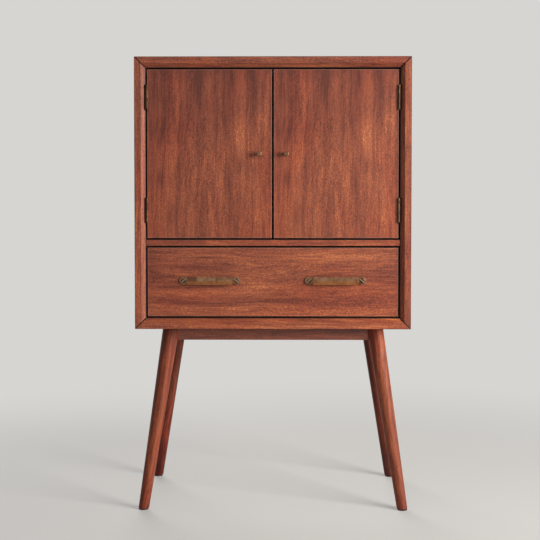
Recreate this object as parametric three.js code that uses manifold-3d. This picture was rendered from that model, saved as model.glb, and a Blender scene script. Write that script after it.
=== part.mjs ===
// Bar cabinet on splayed legs: two doors over a drawer whose front folds down into a shelf.
// Millimetres, +Z up, front towards -Y, origin on the floor under the middle of the whole object.
import * as THREE from 'three';
import { mergeVertices } from 'three/addons/utils/BufferGeometryUtils.js';
import Module from 'manifold-3d';

const wasm = await Module();
wasm.setup();

// Case: four mitred boards with a flat outer edge and a bevel that falls back to the doors
const caseWidth = 762;
const caseHeight = 750;
const caseDepth = 406;
const boardThickness = 30;
const bevelWidth = 12;
const edgeEase = 0.8;
const mitreGap = 0.2;
const mitreGrooveWidth = 1;
const mitreGrooveDepth = 2.5;
const seatGap = 0.3;
const overrun = 2;

// Back panel in its rebate
const backThickness = 7;
const rebateDepth = 10;

// Fronts: the gaps round them, and the rail that is the divider shelf's front edge
const frontGap = 4;
const doorsGap = 5;
const doorThickness = 20;
const railThickness = 18;
const drawerFrontHeight = 191;
const drawerFrontThickness = 20;

// Butt hinges
const hingeLength = 68;
const hingeInset = 43;
const hingeBarrelRadius = 3;
const hingePinRadius = 1.5;
const hingePinPlay = 0.3;
const hingeLeafThickness = 2;
const hingeLeafWidth = 21;
const hingeNotchWidth = 4.3;
const hingeNotchDepth = 14;
const knuckleCount = 5;
const barrelSides = 20;

// Door knobs
const knobRadius = 7.5;
const knobFaceRadius = 5.5;
const knobNeckRadius = 4.5;
const knobRoseRadius = 6;
const knobRoseThickness = 1.6;
const knobHeadLength = 11;
const knobRounding = 2;
const knobProjection = 20;
const knobEdgeDistance = 35;
const knobSpigotRadius = 3;
const knobSpigotLength = 9;
const knobSides = 28;
const knobRimSteps = 4;

// Pulls: round end tabs with slotted screws, and a raised bar with two facets
const pullHeight = 22.4;
const pullScrewSpacing = 147;
const pullTabThickness = 4;
const pullStandoff = 12;
const pullBarEdge = 2.6;
const pullProjection = 20;
const pullBarLength = 124;
const pullPostLength = 7;
const pullNeckHeight = 16;
const pullRidgeShare = 0.51;
const pullRise = 4;
const pullPlaceShare = 0.5;
const pullTabSides = 32;
const screwHeadRadius = 7.4;
const screwHeadThickness = 2.4;
const screwSlotWidth = 1.9;
const screwSlotDepth = 1.1;
const screwShankRadius = 2.4;
const screwShankLength = 16;
const screwSides = 24;
const screwSlotAngles = { left: [-50, 55], right: [-48, 50] };

// Door catch under the top and its plates on the doors
const catchWidth = 52;
const catchHeight = 20;
const catchDepth = 16;
const catchPlateWidth = 18;
const catchPlateHeight = 13;
const catchPlateThickness = 1.5;
const catchPlateCentreX = 14;

// Inside the upper compartment
const shelfThickness = 18;
const shelfFrontSetback = 66;
const shelfSideGap = 1.5;
const shelfHeightShare = 0.47;
const pinRadius = 3;
const pinReach = 9;
const pinSeatDepth = 8;
const pinInset = 45;
const pinSides = 16;
const railCount = 4;
const railSpacing = 105;
const railFlangeWidth = 74;
const railFlangeThickness = 8;
const railWebWidth = 20;
const railWebHeight = 22;
const railFrontSetback = 75;
const railBackSetback = 41;

// Drawer box on grooved wooden runners
const drawerSideGap = 7;
const drawerSideThickness = 12;
const drawerTopDrop = 18;
const drawerBackThickness = 12;
const drawerRearGap = 12;
const drawerFloorThickness = 8;
const drawerFloorGroove = 5;
const drawerRunnerHeight = 16;
const drawerRunnerInset = 5;
const drawerRunnerSetback = 45;
const drawerRunnerPlay = 0.4;
const drawerFrontPlay = 0.5;

// Fold-out front: it turns on a pin in each drawer side's bracket and stops under the drawer floor
const pivotHeight = 24;
const pivotPinRadius = 2;
const pivotPinReach = 8;
const pivotPinPlay = 0.3;
const pivotPinSides = 16;
const bracketThickness = 3;
const bracketHalfHeight = 5;
const bracketLength = 74;
const bracketPlay = 0.5;
const tailPlay = 2;
const stopPlay = 0.3;
const flapMagnetRadius = 4;
const flapMagnetLength = 5;
const flapMagnetDrop = 16;
const flapMagnetSides = 20;

// Base: splayed round legs, thin glides and a frame of four rails set back under the case
const legHeight = 508;
const legTopRadius = 23.2;
const legFootRadius = 14.75;
const legTopInset = 94.5;
const legTopSetback = 65;
const footInset = 19.5;
const footSetback = 21;
const legSides = 40;
const glideRadius = 13.5;
const glideThickness = 3;
const glideSides = 28;
const apronHeight = 37;
const apronThickness = 20;

// Places that follow from the sizes
const frontProud = Math.max(knobProjection, pullProjection) - bevelWidth;
const caseFront = -(caseDepth - frontProud) / 2;
const caseBack = caseFront + caseDepth;
const caseBottom = legHeight;
const caseTop = caseBottom + caseHeight;
const halfInside = caseWidth / 2 - boardThickness;
const insideBottom = caseBottom + boardThickness;
const insideTop = caseTop - boardThickness;
const backPanelFront = caseBack - backThickness - seatGap;
const insideBack = backPanelFront - seatGap;
const faceY = caseFront + bevelWidth;
const drawerFrontBottom = insideBottom + frontGap;
const drawerFrontTop = drawerFrontBottom + drawerFrontHeight;
const railBottom = drawerFrontTop + frontGap;
const railTop = railBottom + railThickness;
const doorBottom = railTop + frontGap;
const doorTop = insideTop - frontGap;
const doorOuterX = halfInside - frontGap;
const doorInnerX = doorsGap / 2;
const hingeY = faceY - hingeBarrelRadius - seatGap;

// Colours and finishes
const walnutRed = new THREE.MeshStandardMaterial({ color: 0x96503e, roughness: 0.5, metalness: 0 });
const innerWood = new THREE.MeshStandardMaterial({ color: 0xa8795a, roughness: 0.6, metalness: 0 });
const agedBrass = new THREE.MeshStandardMaterial({ color: 0x7d6748, roughness: 0.4, metalness: 1 });
const steel = new THREE.MeshStandardMaterial({ color: 0x9a9a98, roughness: 0.4, metalness: 1 });
const glidePlastic = new THREE.MeshStandardMaterial({ color: 0x2a2624, roughness: 0.7, metalness: 0 });

const cabinet = new THREE.Group();
const sides = [['left', -1], ['right', 1]];
const ends = [['front', -1], ['back', 1]];

// Turns a geometry's triangles round where they face inwards
function faceOut(geometry) {
  const place = geometry.getAttribute('position');
  const index = geometry.getIndex();
  const [a, b, c] = [new THREE.Vector3(), new THREE.Vector3(), new THREE.Vector3()];
  let volume = 0;
  for (let i = 0; i < index.count; i += 3) {
    a.fromBufferAttribute(place, index.getX(i));
    b.fromBufferAttribute(place, index.getX(i + 1));
    c.fromBufferAttribute(place, index.getX(i + 2));
    volume += a.dot(b.cross(c));
  }
  if (volume < 0) {
    for (let i = 0; i < index.count; i += 3) {
      const second = index.getX(i + 1);
      index.setX(i + 1, index.getX(i + 2));
      index.setX(i + 2, second);
    }
  }
  return geometry;
}

// A geometry with its shared corners merged, so that it is one closed skin
function welded(geometry) {
  geometry.deleteAttribute('normal');
  geometry.deleteAttribute('uv');
  return faceOut(mergeVertices(geometry));
}

function solidOf(geometry) {
  const skin = welded(geometry);
  const vertProperties = new Float32Array(skin.getAttribute('position').array);
  const triVerts = new Uint32Array(skin.getIndex().array);
  return new wasm.Manifold(new wasm.Mesh({ numProp: 3, vertProperties, triVerts }));
}

function geometryOf(solid) {
  const mesh = solid.getMesh();
  const geometry = new THREE.BufferGeometry();
  geometry.setAttribute('position', new THREE.BufferAttribute(mesh.vertProperties, 3));
  geometry.setIndex(new THREE.BufferAttribute(mesh.triVerts, 1));
  return geometry;
}

// The first shape with the others joined on
function joined(first, ...others) {
  return others.reduce((body, piece) => body.add(piece), first);
}

// The first shape with the others cut away
function cutBy(first, ...others) {
  return others.reduce((body, piece) => body.subtract(piece), first);
}

// Adds a named piece to the cabinet
function place(name, geometry, material) {
  const mesh = new THREE.Mesh(geometry, material);
  mesh.name = name;
  cabinet.add(mesh);
}

// A box between two places on each axis, given in either order
function boxBetween(x, y, z) {
  const [width, depth, height] = [x, y, z].map(([from, to]) => Math.abs(to - from));
  const box = new THREE.BoxGeometry(width, depth, height);
  box.translate((x[0] + x[1]) / 2, (y[0] + y[1]) / 2, (z[0] + z[1]) / 2);
  return box;
}

// A box with every edge eased, made as a thin bevel round a flat plate that faces the front
function easedPanel(x, y, z) {
  const [halfWidth, halfHeight] = [Math.abs(x[1] - x[0]) / 2, (z[1] - z[0]) / 2];
  const outline = new THREE.Shape([
    new THREE.Vector2(-halfWidth, -halfHeight),
    new THREE.Vector2(halfWidth, -halfHeight),
    new THREE.Vector2(halfWidth, halfHeight),
    new THREE.Vector2(-halfWidth, halfHeight),
  ]);
  const thickness = y[1] - y[0];
  const panel = new THREE.ExtrudeGeometry(outline, {
    depth: thickness - 2 * edgeEase,
    bevelEnabled: true,
    bevelThickness: edgeEase,
    bevelSize: edgeEase,
    bevelOffset: -edgeEase,
    bevelSegments: 1,
  });
  panel.rotateX(Math.PI / 2);
  panel.translate((x[0] + x[1]) / 2, y[1] - edgeEase, (z[0] + z[1]) / 2);
  return panel;
}

// Round bars along each axis, between two places on it and centred on the other two
function barAlongX(radius, x, y, z, sideCount) {
  const bar = new THREE.CylinderGeometry(radius, radius, Math.abs(x[1] - x[0]), sideCount);
  bar.rotateZ(Math.PI / 2);
  bar.translate((x[0] + x[1]) / 2, y, z);
  return bar;
}

function barAlongY(radius, x, y, z, sideCount) {
  const bar = new THREE.CylinderGeometry(radius, radius, Math.abs(y[1] - y[0]), sideCount);
  bar.translate(x, (y[0] + y[1]) / 2, z);
  return bar;
}

function barAlongZ(radius, x, y, z, sideCount) {
  const bar = new THREE.CylinderGeometry(radius, radius, Math.abs(z[1] - z[0]), sideCount);
  bar.rotateX(Math.PI / 2);
  bar.translate(x, y, (z[0] + z[1]) / 2);
  return bar;
}

// A length of a case board. Its section is drawn as depth against thickness, counted inwards from
// the outer face, and each end has a place along the board for every thickness.
function boardSlab(section, endPlace, toPlace) {
  const outline = new THREE.Shape(section.map(([depth, inwards]) => new THREE.Vector2(depth, inwards)));
  const slab = new THREE.ExtrudeGeometry(outline, { depth: 1, bevelEnabled: false });
  const corner = slab.getAttribute('position');
  for (let i = 0; i < corner.count; i += 1) {
    const depth = corner.getX(i);
    const inwards = corner.getY(i);
    const end = corner.getZ(i) > 0 ? 1 : 0;
    corner.setXYZ(i, ...toPlace(endPlace[end](inwards), depth, inwards));
  }
  return solidOf(slab);
}

// A case board with 45 degree mitres, each with a fine groove cut round it on the front
function mitredBoard(length, toPlace) {
  const section = [
    [caseFront, edgeEase],
    [caseFront, boardThickness - bevelWidth],
    [faceY, boardThickness],
    [backPanelFront - seatGap, boardThickness],
    [backPanelFront - seatGap, boardThickness - rebateDepth],
    [caseBack, boardThickness - rebateDepth],
    [caseBack, edgeEase],
    [caseBack - edgeEase, 0],
    [caseFront + edgeEase, 0],
  ];
  const grooveSection = [
    [caseFront - overrun, -overrun],
    [caseFront + mitreGrooveDepth, -overrun],
    [caseFront + mitreGrooveDepth, boardThickness - bevelWidth],
    [faceY + mitreGrooveDepth, boardThickness],
    [faceY + mitreGrooveDepth + overrun, boardThickness + overrun],
    [caseFront - overrun, boardThickness + overrun],
  ];
  const mitre = (inwards) => length / 2 - inwards - mitreGap;
  const board = boardSlab(section, [(inwards) => -mitre(inwards), mitre], toPlace);
  const grooves = [-1, 1].map((end) => boardSlab(grooveSection, [
    (inwards) => end * (mitre(inwards) - mitreGrooveWidth),
    (inwards) => end * (mitre(inwards) + overrun),
  ], toPlace));
  return cutBy(board, ...grooves);
}

// Heights of the hinges on each door
const hingeSpans = [
  ['upper', [doorTop - hingeInset - hingeLength, doorTop - hingeInset]],
  ['lower', [doorBottom + hingeInset, doorBottom + hingeInset + hingeLength]],
];

// A place across a hinge, counted from its pin towards the door
function acrossHinge(side, distances) {
  return distances.map((distance) => side * (doorOuterX - distance));
}

// The notch beside the barrel, cut into the case side and its bevel
function caseHingeNotch(side, span) {
  const height = [span[0] - seatGap, span[1] + seatGap];
  const notchX = acrossHinge(side, [-frontGap - hingeNotchWidth, overrun - frontGap]);
  return solidOf(boxBetween(notchX, [caseFront - overrun, hingeY + hingeNotchDepth], height));
}

const shelfTop = railTop + (insideTop - railTop) * shelfHeightShare;
const shelfBottom = shelfTop - shelfThickness;
const shelfBack = insideBack;
const shelfFront = faceY + doorThickness + shelfFrontSetback;
const pinPlaces = [['front', shelfFront + pinInset], ['back', shelfBack - pinInset]];
const pinZ = shelfBottom - pinRadius - seatGap;

function makeCase() {
  const middleZ = (caseBottom + caseTop) / 2;
  const top = mitredBoard(caseWidth, (along, depth, inwards) => [along, depth, caseTop - inwards]);
  const bottom = mitredBoard(caseWidth, (along, depth, inwards) => [along, depth, caseBottom + inwards]);
  place('case_top', geometryOf(top), walnutRed);
  place('case_bottom', geometryOf(bottom), walnutRed);
  for (const [name, side] of sides) {
    const board = mitredBoard(caseHeight, (along, depth, inwards) => [
      side * (caseWidth / 2 - inwards), depth, middleZ + along,
    ]);
    const hingeCuts = hingeSpans.map(([, span]) => caseHingeNotch(side, span));
    const pinHoles = pinPlaces.map(([, y]) => solidOf(barAlongX(
      pinRadius + seatGap,
      [side * (halfInside - overrun), side * (halfInside + pinSeatDepth + seatGap)],
      y, pinZ, pinSides,
    )));
    place(`case_side_${name}`, geometryOf(cutBy(board, ...hingeCuts, ...pinHoles)), walnutRed);
  }
}

function makeBackPanel() {
  const reach = halfInside + rebateDepth - seatGap;
  const width = [-reach, reach];
  const height = [insideBottom - rebateDepth + seatGap, insideTop + rebateDepth - seatGap];
  place('case_back', boxBetween(width, [backPanelFront, caseBack - seatGap], height), innerWood);
}

// The divider's front edge is the rail between the doors and the drawer
function makeDividerShelf() {
  const width = [seatGap - halfInside, halfInside - seatGap];
  const shelf = easedPanel(width, [faceY, insideBack], [railBottom, railTop]);
  place('divider_shelf', welded(shelf), walnutRed);
}

function makeAdjustableShelf() {
  const halfWidth = halfInside - shelfSideGap;
  const shelf = boxBetween([-halfWidth, halfWidth], [shelfFront, shelfBack], [shelfBottom, shelfTop]);
  place('adjustable_shelf', shelf, walnutRed);
  for (const [name, side] of sides) {
    for (const [end, y] of pinPlaces) {
      const x = [side * (halfInside - pinReach), side * (halfInside + pinSeatDepth)];
      place(`shelf_pin_${end}_${name}`, barAlongX(pinRadius, x, y, pinZ, pinSides), steel);
    }
  }
}

// T-shaped rails under the top that stemmed glasses hang between by their feet
function makeStemwareRails() {
  const y = [faceY + railFrontSetback, insideBack - railBackSetback];
  const webTop = insideTop - seatGap;
  const webBottom = webTop - railWebHeight;
  for (let i = 0; i < railCount; i += 1) {
    const centre = (i - (railCount - 1) / 2) * railSpacing;
    const [webX, flangeX] = [railWebWidth, railFlangeWidth].map(
      (width) => [centre - width / 2, centre + width / 2],
    );
    const web = solidOf(boxBetween(webX, y, [webBottom, webTop]));
    const flange = solidOf(boxBetween(flangeX, y, [webBottom - railFlangeThickness, webBottom]));
    place(`stemware_rail_${i + 1}`, geometryOf(joined(web, flange)), innerWood);
  }
}

// A magnetic catch behind the doors' meeting edges, with a steel plate on each door
function makeDoorCatch() {
  const doorBack = faceY + doorThickness;
  const catchFront = doorBack + catchPlateThickness + 2 * seatGap;
  const top = insideTop - seatGap;
  const body = boxBetween(
    [-catchWidth / 2, catchWidth / 2],
    [catchFront, catchFront + catchDepth],
    [top - catchHeight, top],
  );
  place('door_catch', body, glidePlastic);
  const plateBottom = top - catchHeight + seatGap;
  for (const [name, side] of sides) {
    const centre = side * catchPlateCentreX;
    const plate = boxBetween(
      [centre - catchPlateWidth / 2, centre + catchPlateWidth / 2],
      [doorBack + seatGap, doorBack + seatGap + catchPlateThickness],
      [plateBottom, plateBottom + catchPlateHeight],
    );
    place(`catch_plate_${name}`, plate, steel);
  }
}

// Heights of one hinge's knuckles, from the bottom up
function knuckleSpans(span) {
  const length = (hingeLength - (knuckleCount - 1) * seatGap) / knuckleCount;
  return Array.from({ length: knuckleCount }, (_, i) => {
    const low = span[0] + i * (length + seatGap);
    return [low, low + length];
  });
}

// The leaf on the case lies in the gap, flat on the case side. It carries the first, middle and
// last knuckles and the pin.
function caseLeaf(side, span) {
  const axisX = side * doorOuterX;
  const leafX = acrossHinge(side, [seatGap - frontGap, seatGap - frontGap + hingeLeafThickness]);
  const plateFront = hingeY + hingeBarrelRadius;
  const plate = solidOf(boxBetween(leafX, [plateFront, hingeY + hingeLeafWidth], span));
  const pin = solidOf(barAlongZ(hingePinRadius, axisX, hingeY, span, barrelSides));
  const knuckles = knuckleSpans(span).filter((_, i) => i % 2 === 0).map((height) => joined(
    solidOf(barAlongZ(hingeBarrelRadius, axisX, hingeY, height, barrelSides)),
    solidOf(boxBetween(leafX, [hingeY, plateFront + hingeLeafThickness], height)),
  ));
  return geometryOf(joined(plate, pin, ...knuckles));
}

// The leaf on the door carries the knuckles between, bored for the pin
function doorLeaf(side, span) {
  const axisX = side * doorOuterX;
  const leafX = acrossHinge(side, [0, hingeLeafThickness]);
  const plateFront = faceY + seatGap;
  const plate = solidOf(boxBetween(leafX, [plateFront, hingeY + hingeLeafWidth], span));
  const bore = solidOf(barAlongZ(hingePinRadius + hingePinPlay, axisX, hingeY, span, barrelSides));
  const knuckles = knuckleSpans(span).filter((_, i) => i % 2 === 1).map((height) => joined(
    solidOf(barAlongZ(hingeBarrelRadius, axisX, hingeY, height, barrelSides)),
    solidOf(boxBetween(leafX, [hingeY, plateFront + hingeLeafThickness], height)),
  ));
  return geometryOf(cutBy(joined(plate, ...knuckles), bore));
}

function makeHinges() {
  for (const [name, side] of sides) {
    for (const [level, span] of hingeSpans) {
      place(`hinge_case_leaf_${level}_${name}`, caseLeaf(side, span), agedBrass);
      place(`hinge_door_leaf_${level}_${name}`, doorLeaf(side, span), agedBrass);
    }
  }
}

const knobX = doorInnerX + knobEdgeDistance;
const knobZ = (doorBottom + doorTop) / 2;

// Flat inset doors, let in at the edge for the hinge leaves and bored for the knob
function makeDoors() {
  for (const [name, side] of sides) {
    const x = [side * doorInnerX, side * doorOuterX];
    const panel = solidOf(easedPanel(x, [faceY, faceY + doorThickness], [doorBottom, doorTop]));
    const pockets = hingeSpans.map(([, span]) => solidOf(boxBetween(
      acrossHinge(side, [-overrun, hingeLeafThickness + seatGap]),
      [faceY - overrun, hingeY + hingeLeafWidth + seatGap],
      [span[0] - seatGap, span[1] + seatGap],
    )));
    const knobHole = solidOf(barAlongY(
      knobSpigotRadius + seatGap, side * knobX,
      [faceY - overrun, faceY + knobSpigotLength + seatGap], knobZ, knobSides,
    ));
    place(`door_${name}`, geometryOf(cutBy(panel, ...pockets, knobHole)), walnutRed);
  }
}

// A turned knob: spigot in the door, thin rose, neck, and a head with a rounded rim and flat face
function makeKnobs() {
  const headBack = knobProjection - knobHeadLength;
  const rim = Array.from({ length: knobRimSteps + 1 }, (_, i) => {
    const angle = (i / knobRimSteps) * (Math.PI / 2);
    const across = knobRadius - knobFaceRadius;
    const radius = knobFaceRadius + across * Math.cos(angle);
    return new THREE.Vector2(radius, knobProjection - knobRounding + knobRounding * Math.sin(angle));
  });
  const profile = [
    new THREE.Vector2(0, -knobSpigotLength),
    new THREE.Vector2(knobSpigotRadius, -knobSpigotLength),
    new THREE.Vector2(knobSpigotRadius, seatGap),
    new THREE.Vector2(knobRoseRadius, seatGap),
    new THREE.Vector2(knobRoseRadius, seatGap + knobRoseThickness),
    new THREE.Vector2(knobNeckRadius, seatGap + knobRoseThickness),
    new THREE.Vector2(knobNeckRadius, headBack),
    new THREE.Vector2(knobRadius, headBack + (knobRadius - knobNeckRadius) / 2),
    ...rim,
    new THREE.Vector2(0, knobProjection),
  ];
  for (const [name, side] of sides) {
    const knob = new THREE.LatheGeometry(profile, knobSides);
    knob.rotateX(Math.PI);
    knob.translate(side * knobX, faceY, knobZ);
    place(`knob_${name}`, welded(knob), agedBrass);
  }
}

const pivotY = faceY + drawerFrontThickness / 2;
const pivotZ = drawerFrontBottom + pivotHeight;
const tailReach = Math.hypot(pivotHeight, drawerFrontThickness / 2);
const floorBottom = pivotZ + drawerFrontThickness / 2 + stopPlay;
const floorTop = floorBottom + drawerFloorThickness;
const boxFront = faceY + drawerFrontThickness + drawerFrontPlay;
const boxBack = insideBack - drawerRearGap;
const drawerOuterX = halfInside - drawerSideGap;
const drawerInnerX = drawerOuterX - drawerSideThickness;
const drawerBoxTop = drawerFrontTop - drawerTopDrop;
const runnerZ = (floorTop + drawerBoxTop) / 2;
const runnerFront = caseFront + drawerRunnerSetback;
const bracketOuterX = drawerInnerX - seatGap;
const bracketInnerX = bracketOuterX - bracketThickness;

const pullCentreX = doorOuterX * pullPlaceShare;
const pullZ = (drawerFrontBottom + drawerFrontTop) / 2 + pullRise;

// Screw places across the fold-out front, with each slot's angle
const screwPlaces = sides.flatMap(([name, side]) => {
  const offsets = name === 'left' ? ['outer', 'inner'] : ['inner', 'outer'];
  return offsets.map((offset, i) => ({
    name: `pull_screw_${offset}_${name}`,
    x: side * pullCentreX + (i - 1 / 2) * pullScrewSpacing,
    angle: THREE.MathUtils.degToRad(screwSlotAngles[name][i]),
  }));
});

// The drawer's front is a loose panel: slotted for the two brackets, bored for their pins
function makeFoldOutShelf() {
  const x = [-doorOuterX, doorOuterX];
  const y = [faceY, faceY + drawerFrontThickness];
  const panel = solidOf(easedPanel(x, y, [drawerFrontBottom, drawerFrontTop]));
  const slots = sides.map(([, side]) => solidOf(boxBetween(
    [side * (bracketInnerX - bracketPlay), side * (bracketOuterX + bracketPlay)],
    [pivotY - bracketHalfHeight - bracketPlay, y[1] + overrun],
    [drawerFrontBottom - overrun, pivotZ + bracketHalfHeight + bracketPlay],
  )));
  const pinHoles = sides.map(([, side]) => solidOf(barAlongX(
    pivotPinRadius + pivotPinPlay,
    [
      side * (bracketInnerX - pivotPinReach - bracketPlay),
      side * (bracketOuterX + pivotPinReach + bracketPlay),
    ],
    pivotY, pivotZ, pivotPinSides,
  )));
  const screwHoles = screwPlaces.map((screw) => solidOf(barAlongY(
    screwShankRadius + seatGap, screw.x,
    [faceY - overrun, faceY + screwShankLength - pullTabThickness + seatGap], pullZ, screwSides,
  )));
  const cut = cutBy(panel, ...slots, ...pinHoles, ...screwHoles);
  place('fold_out_shelf', geometryOf(cut), walnutRed);
}

// A pull is one casting: two round tabs on the wood, two posts, and the bar between with its ridge
function pullSolid(centre) {
  const back = faceY - seatGap;
  const tabFront = back - pullTabThickness;
  const barBack = faceY - pullStandoff;
  const ridgeZ = pullZ + pullHeight / 2 - pullHeight * pullRidgeShare;
  const [low, high] = [pullZ - pullHeight / 2, pullZ + pullHeight / 2];
  const section = new THREE.Shape([
    new THREE.Vector2(barBack, low),
    new THREE.Vector2(barBack, high),
    new THREE.Vector2(barBack - pullBarEdge, high),
    new THREE.Vector2(faceY - pullProjection, ridgeZ),
    new THREE.Vector2(barBack - pullBarEdge, low),
  ]);
  const bar = new THREE.ExtrudeGeometry(section, { depth: pullBarLength, bevelEnabled: false });
  bar.applyMatrix4(new THREE.Matrix4().makeBasis(
    new THREE.Vector3(0, 1, 0), new THREE.Vector3(0, 0, 1), new THREE.Vector3(1, 0, 0),
  ));
  bar.translate(centre - pullBarLength / 2, 0, 0);
  const ends = [-1, 1].flatMap((end) => {
    const screwX = centre + end * (pullScrewSpacing / 2);
    const barEnd = centre + end * (pullBarLength / 2);
    const post = [barEnd - end * pullPostLength, barEnd];
    const neckZ = [pullZ - pullNeckHeight / 2, pullZ + pullNeckHeight / 2];
    return [
      solidOf(barAlongY(pullHeight / 2, screwX, [tabFront, back], pullZ, pullTabSides)),
      solidOf(boxBetween([post[0], screwX], [tabFront, back], neckZ)),
      solidOf(boxBetween(post, [barBack - pullBarEdge / 2, back], neckZ)),
    ];
  });
  const holes = [-1, 1].map((end) => solidOf(barAlongY(
    screwShankRadius + seatGap, centre + end * (pullScrewSpacing / 2),
    [tabFront - overrun, back + overrun], pullZ, screwSides,
  )));
  return cutBy(joined(solidOf(bar), ...ends), ...holes);
}

function makePulls() {
  for (const [name, side] of sides) {
    place(`pull_${name}`, geometryOf(pullSolid(side * pullCentreX)), agedBrass);
  }
  const headBack = faceY - seatGap - pullTabThickness - seatGap;
  const headFront = headBack - screwHeadThickness;
  for (const screw of screwPlaces) {
    const head = barAlongY(screwHeadRadius, screw.x, [headFront, headBack], pullZ, screwSides);
    const shank = barAlongY(
      screwShankRadius, screw.x, [headFront + screwHeadThickness / 2, headBack + screwShankLength],
      pullZ, screwSides,
    );
    const slot = boxBetween(
      [-screwHeadRadius - overrun, screwHeadRadius + overrun],
      [headFront - overrun, headFront + screwSlotDepth],
      [-screwSlotWidth / 2, screwSlotWidth / 2],
    );
    slot.rotateY(-screw.angle);
    slot.translate(screw.x, 0, pullZ);
    const solid = cutBy(joined(solidOf(head), solidOf(shank)), solidOf(slot));
    place(screw.name, geometryOf(solid), agedBrass);
  }
}

// Drawer sides: grooved outside for the runner and inside for the floor, stepped at the lower
// front corner where the folding front's tail swings back
function makeDrawerSides() {
  for (const [name, side] of sides) {
    const x = [side * drawerInnerX, side * drawerOuterX];
    const board = solidOf(boxBetween(x, [boxFront, boxBack], [drawerFrontBottom, drawerBoxTop]));
    const runnerGroove = solidOf(boxBetween(
      [side * (drawerOuterX - drawerRunnerInset), side * (drawerOuterX + overrun)],
      [runnerFront - drawerRunnerPlay, boxBack + overrun],
      [
        runnerZ - drawerRunnerHeight / 2 - drawerRunnerPlay,
        runnerZ + drawerRunnerHeight / 2 + drawerRunnerPlay,
      ],
    ));
    const floorSlot = solidOf(boxBetween(
      [side * (drawerInnerX - overrun), side * (drawerInnerX + drawerFloorGroove)],
      [boxFront - overrun, boxBack + overrun],
      [floorBottom - seatGap, floorTop + seatGap],
    ));
    const tailStep = solidOf(boxBetween(
      [side * (drawerInnerX - overrun), side * (drawerOuterX + overrun)],
      [boxFront - overrun, pivotY + tailReach + tailPlay],
      [drawerFrontBottom - overrun, floorBottom],
    ));
    const magnetHole = solidOf(barAlongY(
      flapMagnetRadius + seatGap, side * (drawerInnerX + drawerSideThickness / 2),
      [boxFront - overrun, boxFront + flapMagnetLength + seatGap],
      drawerBoxTop - flapMagnetDrop, flapMagnetSides,
    ));
    const cut = cutBy(board, runnerGroove, floorSlot, tailStep, magnetHole);
    place(`drawer_side_${name}`, geometryOf(cut), innerWood);
  }
}

function makeDrawerBox() {
  const floorReach = drawerInnerX + drawerFloorGroove - seatGap;
  const backReach = drawerInnerX - seatGap;
  const floor = boxBetween([-floorReach, floorReach], [boxFront, boxBack], [floorBottom, floorTop]);
  const back = boxBetween(
    [-backReach, backReach],
    [boxBack - drawerBackThickness, boxBack],
    [floorTop + seatGap, drawerBoxTop],
  );
  place('drawer_floor', floor, innerWood);
  place('drawer_back', back, innerWood);
}

// Hardwood runners on the case sides, which the grooves slide on
function makeDrawerRunners() {
  for (const [name, side] of sides) {
    const runner = boxBetween(
      [side * (drawerOuterX - drawerRunnerInset + drawerRunnerPlay), side * (halfInside - seatGap)],
      [runnerFront, insideBack],
      [runnerZ - drawerRunnerHeight / 2, runnerZ + drawerRunnerHeight / 2],
    );
    place(`drawer_runner_${name}`, runner, innerWood);
  }
}

// A steel arm on each drawer side under the floor, with the pin that the front turns on
function makePivotBrackets() {
  for (const [name, side] of sides) {
    const x = [side * bracketInnerX, side * bracketOuterX];
    const z = [pivotZ - bracketHalfHeight, pivotZ + bracketHalfHeight];
    const arm = solidOf(boxBetween(x, [pivotY, pivotY + bracketLength], z));
    const boss = solidOf(barAlongX(bracketHalfHeight, x, pivotY, pivotZ, barrelSides));
    const pin = solidOf(barAlongX(
      pivotPinRadius,
      [side * (bracketInnerX - pivotPinReach), side * (bracketOuterX + pivotPinReach)],
      pivotY, pivotZ, pivotPinSides,
    ));
    place(`pivot_bracket_${name}`, geometryOf(joined(arm, boss, pin)), steel);
  }
}

// Round magnets in the drawer sides' front ends, which hold the folding front up
function makeFlapMagnets() {
  for (const [name, side] of sides) {
    const magnet = barAlongY(
      flapMagnetRadius, side * (drawerInnerX + drawerSideThickness / 2),
      [boxFront, boxFront + flapMagnetLength], drawerBoxTop - flapMagnetDrop, flapMagnetSides,
    );
    place(`flap_magnet_${name}`, magnet, steel);
  }
}

// A leg's centre at the case and at the floor
function legLine(side, end) {
  const middleY = (caseFront + caseBack) / 2;
  const halfDepth = caseDepth / 2;
  return {
    top: [side * (caseWidth / 2 - legTopInset), middleY + end * (halfDepth - legTopSetback)],
    foot: [side * (caseWidth / 2 - footInset), middleY + end * (halfDepth - footSetback)],
  };
}

// A round taper that leans from its foot to its top, with both ends cut level
function legGeometry(side, end, extra) {
  const { top, foot } = legLine(side, end);
  const bottomZ = glideThickness + seatGap;
  const topZ = caseBottom - seatGap;
  const leg = new THREE.CylinderGeometry(
    legTopRadius + extra, legFootRadius + extra, topZ - bottomZ, legSides,
  );
  leg.rotateX(Math.PI / 2);
  leg.translate(0, 0, (bottomZ + topZ) / 2);
  const [leanX, leanY] = [(top[0] - foot[0]) / legHeight, (top[1] - foot[1]) / legHeight];
  leg.applyMatrix4(new THREE.Matrix4().makeShear(0, 0, 0, 0, leanX, leanY));
  leg.translate(foot[0], foot[1], 0);
  return leg;
}

function makeLegs() {
  for (const [name, side] of sides) {
    for (const [endName, end] of ends) {
      place(`leg_${endName}_${name}`, welded(legGeometry(side, end, 0)), walnutRed);
      const { foot } = legLine(side, end);
      const glide = barAlongZ(glideRadius, foot[0], foot[1], [0, glideThickness], glideSides);
      place(`glide_${endName}_${name}`, glide, glidePlastic);
    }
  }
}

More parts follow.
